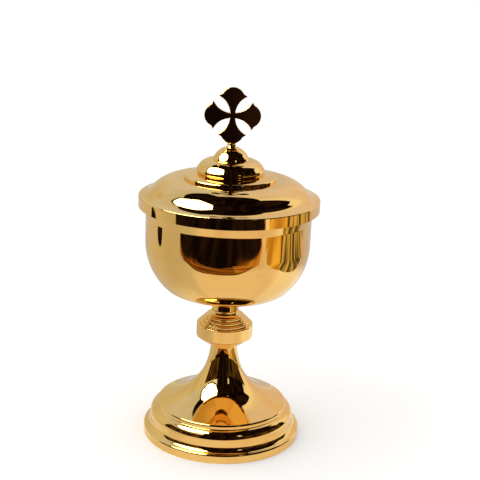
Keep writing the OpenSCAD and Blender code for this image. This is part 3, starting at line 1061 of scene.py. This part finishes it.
    def clamp(self) -> None:
        """Places the washers and the nut under the crown."""
        self.shop.ring("finial_washer", Body.LID, self.hole_r, self.washer_soft, Slot.STEEL)
        self.shop.split_ring("finial_spring_washer", Body.LID, self.hole_r)
        self.shop.nut("finial_nut", Body.LID, self.hole_r)


@dataclass
class PlateCross:
    """Flat cross with four flared arms, cut from plate with its edges softened."""

    FACE_ON = 0.999
    QUARTERS = ((1, 0), (0, 1), (-1, 0), (0, -1))

    shop: Workshop
    arm_l: float = 17.2
    waist_w: float = 3.2
    waist_out: float = 0.8
    tip_half_w: float = 8.6
    tip_out: float = 11.7
    end_r: float = 7.1
    shoulder_deg: float = 26.0
    tenon_w: float = 2.6
    tenon_l: float = 0.8
    thick: float = 2.0
    edge_r: float = 0.22
    edge_steps: int = 3
    arc_steps: int = 20

    def arm(self) -> list[Point]:
        """Outline of the upward arm, from its right root to its left root.

        Returns:
            Points across and along the arm, in millimetres from the cross's centre.
        """
        half = self.waist_w / 2.0
        reach, rise = self.tip_half_w - half, self.tip_out - self.waist_out
        side_r = (reach ** 2 + rise ** 2) / (2.0 * reach)
        side = (half + side_r, self.waist_out)
        mid = (side[0] + side[1]) / 2.0
        root = mid - math.sqrt(side_r ** 2 / 2.0 - (side[0] - mid) ** 2)
        dome = self.arm_l - self.end_r
        hollow = self._arc(side, side_r, math.atan2(root - side[1], root - side[0]),
                           math.atan2(self.tip_out - side[1], self.tip_half_w - side[0]))
        cap = self._arc((0.0, dome), self.end_r, math.radians(self.shoulder_deg), math.pi / 2.0)
        right = [*hollow, *cap]
        return [*right, *((-u, v) for u, v in reversed(right[1:-1]))]

    def outline(self) -> list[Point]:
        """Closed outline of the four arms and the tenon under the lowest."""
        arm = self.arm()
        upper, left, lower, right = ([(u * c - v * s, u * s + v * c) for u, v in arm]
                                     for c, s in self.QUARTERS)
        return [*upper, *left, *self._with_tenon(lower), *right]

    def _with_tenon(self, arm: list[Point]) -> list[Point]:
        """Adds the tenon to the end of the lowest arm.

        Args:
            arm: Outline of the arm, from its left root to its right root.

        Returns:
            The outline, with the tenon in place of the middle of the arm's end.
        """
        half, low = self.tenon_w / 2.0, -self.arm_l - self.tenon_l
        root = -(self.arm_l - self.end_r) - math.sqrt(self.end_r ** 2 - half ** 2)
        kept = [p for p in arm if p[1] > root or p[0] < -half]
        turn = next(i for i, p in enumerate(kept) if p[0] > 0.0 and p[1] < -self.arm_l / 2.0)
        return [*kept[:turn], (-half, root), (-half, low), (half, low), (half, root), *kept[turn:]]

    def build(self) -> None:
        """Builds the plate and softens its edges."""
        mesh = bmesh.new()
        middle, half = top_mm("cross") - self.arm_l, self.thick / 2.0
        verts = [mesh.verts.new((x * MM, -half * MM, (middle + z) * MM)) for x, z in self.outline()]
        face = mesh.faces.new(verts)
        made = bmesh.ops.extrude_face_region(mesh, geom=[face])["geom"]
        moved = [v for v in made if isinstance(v, bmesh.types.BMVert)]
        bmesh.ops.translate(mesh, verts=moved, vec=(0.0, self.thick * MM, 0.0))
        rims = [e for e in mesh.edges if abs(e.verts[0].co.y - e.verts[1].co.y) < POLE_R]
        bmesh.ops.bevel(mesh, geom=rims, offset=self.edge_r * MM, segments=self.edge_steps, profile=0.5,
                        affect="EDGES")
        bmesh.ops.recalc_face_normals(mesh, faces=mesh.faces)
        for face in mesh.faces:
            face.smooth = abs(face.normal.y) < self.FACE_ON
        data = bpy.data.meshes.new("plate_cross")
        mesh.to_mesh(data)
        mesh.free()
        data.materials.append(self.shop.mirror)
        place_piece(link_object("plate_cross", data), Body.LID, Slot.GILT, "cross")

    def _arc(self, centre: Point, radius: float, start: float, end: float) -> list[Point]:
        """Points along an arc between two angles in radians, the shorter way."""
        sweep = (end - start + math.pi) % math.tau - math.pi
        angles = (start + sweep * i / self.arc_steps for i in range(self.arc_steps + 1))
        return [(centre[0] + radius * math.cos(a), centre[1] + radius * math.sin(a)) for a in angles]


# Studio


@dataclass(frozen=True)
class Paint:
    """Two shades of a painted-reflection card that blend in streaks.

    Attributes:
        shade: Its darker colour.
        light: Its lighter colour.
        streaks: How many streaks there are to a metre along X, Y and Z.
    """

    shade: Rgb
    light: Rgb
    streaks: tuple[float, float, float] = (2.0, 2.0, 1.0)

    def glow(self, nodes: Nodes, strength: float) -> bpy.types.NodeSocket:
        """Adds the glow of a painted-reflection card to a tree.

        Args:
            nodes: The tree of the card's material.
            strength: Brightness, 1 being white.

        Returns:
            The shader output.
        """
        place = nodes.add("ShaderNodeTexCoord").outputs["Object"]
        drawn = nodes.add("ShaderNodeMapping", {"Vector": place, "Scale": self.streaks}).outputs[0]
        share = nodes.ramp(nodes.noise(drawn, scale=1.0, detail=2.0), span=(0.40, 0.62))
        colour = nodes.blend(share, self.shade, self.light)
        # The card glows though it is no lamp: it is a painted reflection.
        return nodes.add("ShaderNodeEmission", {"Color": colour, "Strength": strength}).outputs[0]


# Colours of the painted reflections that only the metal sees: dark, warm and pale glowing cards; WHITE is the
# softbox's painted highlight.
BLACK = Paint((0.004, 0.002, 0.002), (0.017, 0.009, 0.007), (9.0, 4.0, 1.5))
UMBER = Paint((0.012, 0.009, 0.006), (0.120, 0.065, 0.020), (9.0, 9.0, 1.5))
SIENNA = Paint((0.090, 0.028, 0.006), (0.320, 0.130, 0.024), (2.5, 38.0, 1.0))
AMBER = Paint((0.240, 0.085, 0.014), (0.680, 0.320, 0.055), (2.5, 38.0, 1.0))
HONEY = Paint((0.560, 0.310, 0.050), (1.000, 0.640, 0.140), (3.0, 14.0, 1.0))
OLIVE = Paint((0.085, 0.068, 0.022), (0.820, 0.620, 0.240), (2.0, 26.0, 1.0))
PEACH = Paint((0.760, 0.620, 0.480), (0.900, 0.790, 0.720), (3.0, 3.0, 1.0))
WHITE = Paint((1.000, 0.970, 0.920), (1.000, 0.990, 0.960), (4.0, 4.0, 4.0))
GREY = Paint((0.640, 0.690, 0.860), (0.720, 0.770, 0.940))
STONE = Paint((0.640, 0.620, 0.500), (0.740, 0.720, 0.600))
ROSE = Paint((0.780, 0.670, 0.600), (0.860, 0.750, 0.690))
PEARL = Paint((0.780, 0.740, 0.880), (0.840, 0.800, 0.940))
MAUVE = Paint((0.620, 0.570, 0.610), (0.700, 0.650, 0.690))
SAND = Paint((0.600, 0.570, 0.520), (0.690, 0.660, 0.610))


def painted_reflection_card(mesh: bpy.types.Mesh, paint: Paint, strength: float = 1.0, soft: float = 0.0) -> None:
    """Makes a glowing card that only polished surfaces see: a painted reflection.

    Args:
        mesh: Its surface, with a UV map of 0 to 1 across it where its edges are soft.
        paint: Colours of the painted reflection.
        strength: Its brightness, 1 being white.
        soft: Share of its width over which it fades at its edges.
    """
    material, nodes = new_material(mesh.name)
    shader = paint.glow(nodes, strength)
    if soft > 0.0:
        place = nodes.add("ShaderNodeTexCoord").outputs["UV"]
        across = nodes.add("ShaderNodeSeparateXYZ", {0: place}).outputs
        inset = nodes.calc("MINIMUM", *(nodes.calc("PINGPONG", across[i], 0.5) for i in (0, 1)))
        clear = nodes.add("ShaderNodeBsdfTransparent").outputs[0]
        share = nodes.ramp(inset, span=(0.0, soft))
        shader = nodes.add("ShaderNodeMixShader", {0: share, 1: clear, 2: shader}).outputs[0]
    nodes.add("ShaderNodeOutputMaterial", {"Surface": shader})
    mesh.materials.append(material)
    obj = link_object(mesh.name, mesh)
    # Hidden from the camera, diffuse light and shadows: it shows only as a painted reflection in the metal.
    obj.visible_camera = False
    obj.visible_diffuse = False
    obj.visible_shadow = False
    obj.visible_transmission = False


def patch_mesh(name: str, point: Callable[[float, float], Vector], steps: int = 24) -> bpy.types.Mesh:
    """Makes a curved sheet with a UV map.

    Args:
        name: Name of the mesh.
        point: Place of the sheet at two shares from 0 to 1.
        steps: Faces along each side.

    Returns:
        The mesh.
    """
    mesh = bpy.data.meshes.new(name)
    shares = [(j / steps, i / steps) for i in range(steps + 1) for j in range(steps + 1)]
    rows = steps + 1
    faces = [(i * rows + j, i * rows + j + 1, (i + 1) * rows + j + 1, (i + 1) * rows + j)
             for i in range(steps) for j in range(steps)]
    mesh.from_pydata([tuple(point(u, v)) for u, v in shares], [], faces)
    layer = mesh.uv_layers.new(name="across")
    for loop in mesh.loops:
        layer.data[loop.index].uv = shares[loop.vertex_index]
    return mesh


def between(limits: Point, share: float) -> float:
    """Value at a share of the way from one limit to the other."""
    return limits[0] + (limits[1] - limits[0]) * share


def polar(azimuth: float, elevation: float) -> Vector:
    """Unit vector at an azimuth from the camera's side and an elevation, in degrees."""
    az, el = math.radians(azimuth), math.radians(elevation)
    return Vector((math.cos(el) * math.sin(az), -math.cos(el) * math.cos(az), math.sin(el)))


@dataclass(frozen=True)
class Card:
    """A glowing card round the set, seen only in reflections, as part of a sphere: a painted reflection.

    Attributes:
        name: Name of the card.
        azimuth: Its two side limits, in degrees from the camera's side, positive to the right.
        elevation: Its lower and upper limits, in degrees.
        distance: Distance from the middle of the set, in metres.
        paint: Its colours.
        soft: Share of its width over which it fades at its edges.
    """

    name: str
    azimuth: Point
    elevation: Point
    distance: float
    paint: Paint
    soft: float = 0.0

    def build(self, middle: Vector) -> None:
        """Makes the card round a middle point."""
        def place(u: float, v: float) -> Vector:
            """Point at shares of the card's width and height."""
            return middle + self.distance * polar(between(self.azimuth, u), between(self.elevation, v))

        painted_reflection_card(patch_mesh(self.name, place), self.paint, soft=self.soft)


@dataclass(frozen=True)
class FloorRing:
    """A part of a ring lying on the floor, seen only in reflections: a painted reflection, while the camera
    sees the white floor.

    Attributes:
        name: Name of the card.
        azimuth: Its two side limits, in degrees from the camera's side, positive to the right.
        radius: Its inner and outer radius, in metres.
        lift: Height above the floor, in metres.
        paint: Its colours.
        soft: Share of its width over which it fades at its edges.
    """

    name: str
    azimuth: Point
    radius: Point
    lift: float
    paint: Paint
    soft: float

    def build(self) -> None:
        """Makes the card."""
        def place(u: float, v: float) -> Vector:
            """Point at shares of the way round and of the way out."""
            flat = between(self.radius, v) * polar(between(self.azimuth, u), 0.0)
            return flat + Vector((0.0, 0.0, self.lift))

        painted_reflection_card(patch_mesh(self.name, place), self.paint, soft=self.soft)


@dataclass(frozen=True)
class FloorCard:
    """A plain card with rounded corners lying on the floor, seen only in reflections: a painted reflection,
    while the camera sees the white floor.

    Attributes:
        name: Name of the card.
        outline: Its corners on the floor, in metres.
        paint: Its colours.
        lift: Height above the floor, in metres.
        round_m: How far from a corner its rounding begins, in metres.
    """

    name: str
    outline: tuple[Point, ...]
    paint: Paint
    lift: float
    round_m: float

    def build(self) -> None:
        """Makes the card."""
        corners = [Vector((x, y, self.lift)) for x, y in self.outline]
        trios = zip([corners[-1], *corners], corners, [*corners[1:], corners[0]])
        ring = [tuple(point) for trio in trios for point in self._corner(*trio)]
        mesh = bpy.data.meshes.new(self.name)
        mesh.from_pydata(ring, [], [tuple(range(len(ring)))])
        painted_reflection_card(mesh, self.paint)

    def _corner(self, before: Vector, corner: Vector, after: Vector, steps: int = 6) -> list[Vector]:
        """Points of a rounded corner between two edges."""
        start, end = (corner + (other - corner) * min(0.5, self.round_m / (other - corner).length)
                      for other in (before, after))
        shares = (i / steps for i in range(steps + 1))
        return [start * (1 - t) ** 2 + corner * (2 * t * (1 - t)) + end * t ** 2 for t in shares]


@dataclass
class Studio:
    """White floor and surroundings, painted reflections for the metal (dark and warm glowing cards and the
    softbox's painted highlight), one soft lamp and the camera.
    """

    middle: Vector = field(default_factory=lambda: Vector((0.0, 0.0, 0.12)))
    # Painted reflections round the set: dark, warm and pale glowing cards that only the metal sees.
    cards: tuple[Card, ...] = (
        Card("front_card", (-30.0, 30.0), (-8.0, 68.0), 0.95, BLACK),
        Card("front_left_card", (-94.0, -28.0), (-8.0, 29.0), 0.93, UMBER),
        Card("front_low_card", (29.0, 47.0), (-8.0, 27.0), 0.93, UMBER),
        Card("front_top_card", (29.0, 47.0), (39.0, 68.0), 0.93, BLACK),
        Card("right_card", (45.0, 115.0), (-8.0, 22.0), 0.92, UMBER),
        Card("right_middle_card", (37.0, 106.0), (20.0, 40.0), 0.91, BLACK),
        Card("right_top_card", (45.0, 121.0), (38.0, 68.0), 0.92, BLACK),
        Card("left_top_card", (-165.0, -28.0), (54.0, 68.0), 0.96, BLACK),
        Card("ceiling_card", (-180.0, 180.0), (66.0, 90.0), 0.95, BLACK),
        Card("back_left_card", (-200.0, -78.0), (26.0, 72.0), 0.97, GREY, 0.18),
        Card("back_left_low_card", (-200.0, -78.0), (-14.0, 50.0), 0.98, STONE, 0.18),
        Card("back_right_card", (125.0, 200.0), (26.0, 74.0), 0.99, PEARL, 0.25),
        Card("back_right_low_card", (125.0, 200.0), (-16.0, 50.0), 1.00, ROSE, 0.25),
    )
    # Painted reflections lying on the floor, while the camera sees the white floor.
    floor_rings: tuple[FloorRing, ...] = (
        FloorRing("left_floor_card", (-215.0, -35.0), (0.0, 1.40), 0.0005, SAND, 0.10),
        FloorRing("front_floor_card", (-70.0, 80.0), (0.0, 0.60), 0.0004, PEACH, 0.15),
        FloorRing("right_floor_card", (92.0, 165.0), (0.20, 1.40), 0.0006, MAUVE, 0.10),
    )
    # Painted reflections on the floor: dark and warm shapes drawn where the metal shows them.
    floor_cards: tuple[FloorCard, ...] = (
        FloorCard("floor_warm_card", (
            (-1.6, -0.62), (-0.42, -0.20), (-0.385, -0.25), (-0.275, -0.225), (-0.165, -0.185),
            (-0.03, -0.217), (0.06, -0.217), (0.22, -0.315), (0.36, -0.355), (1.2, -1.3), (-1.6, -1.3)),
            SIENNA, 0.001, 0.06),
        FloorCard("floor_amber_card", (
            (0.05, -0.245), (0.22, -0.315), (0.36, -0.355), (1.2, -1.3), (0.05, -1.3)), AMBER, 0.0015, 0.02),
        FloorCard("floor_dark_card", (
            (-1.6, -0.63), (-0.425, -0.21), (-0.29, -0.365), (-0.06, -0.315), (0.11, -0.45), (0.34, -0.355),
            (0.38, -0.40), (1.2, -1.32), (-1.6, -1.32)), BLACK, 0.002, 0.06),
        FloorCard("side_gold_card", (
            (0.42, -0.36), (0.27, -0.145), (0.245, -0.06), (1.2, -0.27), (1.2, -1.0)), HONEY, 0.001, 0.04),
        FloorCard("side_olive_card", (
            (0.25, -0.085), (0.22, 0.02), (0.23, 0.085), (0.44, 0.24), (1.2, 0.62), (1.2, -0.30)),
            OLIVE, 0.0015, 0.06),
        FloorCard("left_dark_card", (
            (-0.46, 0.06), (-0.46, 0.15), (-0.62, 0.21), (-0.60, 0.08)), BLACK, 0.001, 0.05),
    )
    floor_half: float = 4.0
    world_light: float = 1.06
    world_seen: float = 1.0
    lamp_watts: float = 0.2
    # The softbox's face is a painted highlight: a glowing card, far brighter than the lamp, that only the
    # metal sees; the lamp at the same place lights the floor.
    softbox_at: Vector = field(default_factory=lambda: Vector((-0.21, -0.095, 0.39)))
    softbox_sides: int = 8
    softbox_r: float = 0.165
    softbox_height: float = 0.86
    painted_highlight_strength: float = 8.0
    frame_share: float = 1.22
    frame_back: float = 0.01
    camera_at: Vector = field(default_factory=lambda: Vector((0.0, -0.6461, 0.3158)))
    camera_pitch: float = 16.14
    camera_yaw: float = 0.67
    camera_roll: float = 2.40
    focal_px: float = 1076.0

    @property
    def softbox_aim(self) -> Quaternion:
        """Turn of the softbox towards the middle of the set."""
        return (self.middle - self.softbox_at).to_track_quat("-Z", "Y")

    def surroundings(self) -> None:
        """Makes a world that looks white and lights at a plain level."""
        world = bpy.data.worlds.new("studio_world")
        world.use_nodes = True
        bpy.context.scene.world = world
        nodes = Nodes(world.node_tree)
        rays = nodes.add("ShaderNodeLightPath").outputs
        seen = nodes.calc("ADD", rays["Is Camera Ray"], rays["Is Glossy Ray"])
        seen = nodes.calc("ADD", seen, rays["Is Transmission Ray"], use_clamp=True)
        level = nodes.ramp(seen, span=(0.0, 1.0), to=(self.world_light, self.world_seen))
        white = nodes.add("ShaderNodeBackground", {"Color": (1.0, 1.0, 1.0, 1.0), "Strength": level})
        nodes.add("ShaderNodeOutputWorld", {"Surface": white.outputs[0]})

    def floor(self) -> None:
        """Makes the pale floor."""
        half = self.floor_half
        corners = [(-half, -half, 0.0), (half, -half, 0.0), (half, half, 0.0), (-half, half, 0.0)]
        mesh = bpy.data.meshes.new("floor")
        mesh.from_pydata(corners, [], [(0, 1, 2, 3)])
        material, nodes = new_material("floor_white")
        place = nodes.add("ShaderNodeTexCoord").outputs["Object"]
        cloudy = nodes.noise(place, scale=3.0, detail=2.0)
        colour = nodes.blend(cloudy, (0.97, 0.97, 0.97), (0.99, 0.99, 0.985))
        shader = nodes.add("ShaderNodeBsdfDiffuse", {"Color": colour})
        nodes.add("ShaderNodeOutputMaterial", {"Surface": shader.outputs[0]})
        mesh.materials.append(material)
        link_object("floor", mesh)

    def reflections(self) -> None:
        """Sets up the painted reflections: the cards, and the softbox's black frame and glowing face, which
        only the polished metal sees.
        """
        for card in self.cards:
            card.build(self.middle)
        for card in (*self.floor_rings, *self.floor_cards):
            card.build()
        self._softbox("softbox_frame", self.softbox_r * self.frame_share, self.frame_back, BLACK, 1.0)
        self._softbox("softbox_painted_highlight", self.softbox_r, 0.0, WHITE, self.painted_highlight_strength)

    def _softbox(self, name: str, radius: float, back: float, paint: Paint, strength: float) -> None:
        """Makes one of the softbox's cards, set back along its aim: the black frame is a painted dark
        reflection and the glowing face a painted highlight.
        """
        turn = self.softbox_aim.to_matrix()
        angles = (math.tau * (i + 0.5) / self.softbox_sides for i in range(self.softbox_sides))
        ring = [self.softbox_at + turn @ Vector((
            radius * math.cos(a), self.softbox_height * radius * math.sin(a), back)) for a in angles]
        mesh = bpy.data.meshes.new(name)
        mesh.from_pydata([tuple(p) for p in ring], [], [tuple(range(self.softbox_sides))])
        painted_reflection_card(mesh, paint, strength)

    def lamp(self) -> None:
        """Adds one soft lamp at the softbox for the floor's shadow."""
        light = bpy.data.lights.new("soft_lamp", "AREA")
        light.shape = "DISK"
        light.size = 2.0 * self.softbox_r
        light.energy = self.lamp_watts
        obj = bpy.data.objects.new("soft_lamp", light)
        obj.location = self.softbox_at
        obj.rotation_euler = self.softbox_aim.to_euler()
        obj.visible_glossy = False
        obj.visible_camera = False
        bpy.context.scene.collection.objects.link(obj)

    def camera(self) -> None:
        """Sets the camera to the photograph's viewing angle."""
        data = bpy.data.cameras.new("camera")
        data.sensor_width = SENSOR_MM
        data.lens = self.focal_px / IMAGE_PX * SENSOR_MM
        pitch, yaw, roll = (math.radians(a) for a in (self.camera_pitch, self.camera_yaw, self.camera_roll))
        ahead = Vector((math.sin(yaw) * math.cos(pitch), math.cos(yaw) * math.cos(pitch), -math.sin(pitch)))
        right = ahead.cross(Vector((0.0, 0.0, 1.0))).normalized()
        above = right.cross(ahead)
        right, above = (math.cos(roll) * right + math.sin(roll) * above,
                        math.cos(roll) * above - math.sin(roll) * right)
        obj = bpy.data.objects.new("camera", data)
        obj.matrix_world = Matrix((right, above, -ahead)).transposed().to_4x4()
        obj.location = self.camera_at
        bpy.context.scene.collection.objects.link(obj)
        bpy.context.scene.camera = obj

    def build(self) -> None:
        """Builds the whole studio."""
        bpy.context.scene.view_settings.view_transform = "Standard"
        self.surroundings()
        self.floor()
        self.reflections()
        self.lamp()
        self.camera()


def main() -> None:
    """Builds the pieces and the studio in order."""
    logging.basicConfig(level=logging.INFO, format="%(name)s %(message)s")
    shop = Workshop()
    foot = Foot(shop)
    foot.shell()
    foot.rod()
    foot.clamp()
    stem = Stem(shop)
    stem.neck(stem.collar(stem.knop()))
    Cup(shop).bowl()
    lid = Lid(shop)
    lid.tiers(lid.shell())
    lid.bezel()
    lid.bolt()
    lid.clamp()
    PlateCross(shop).build()
    Studio().build()


if __name__ == "__main__":
    main()
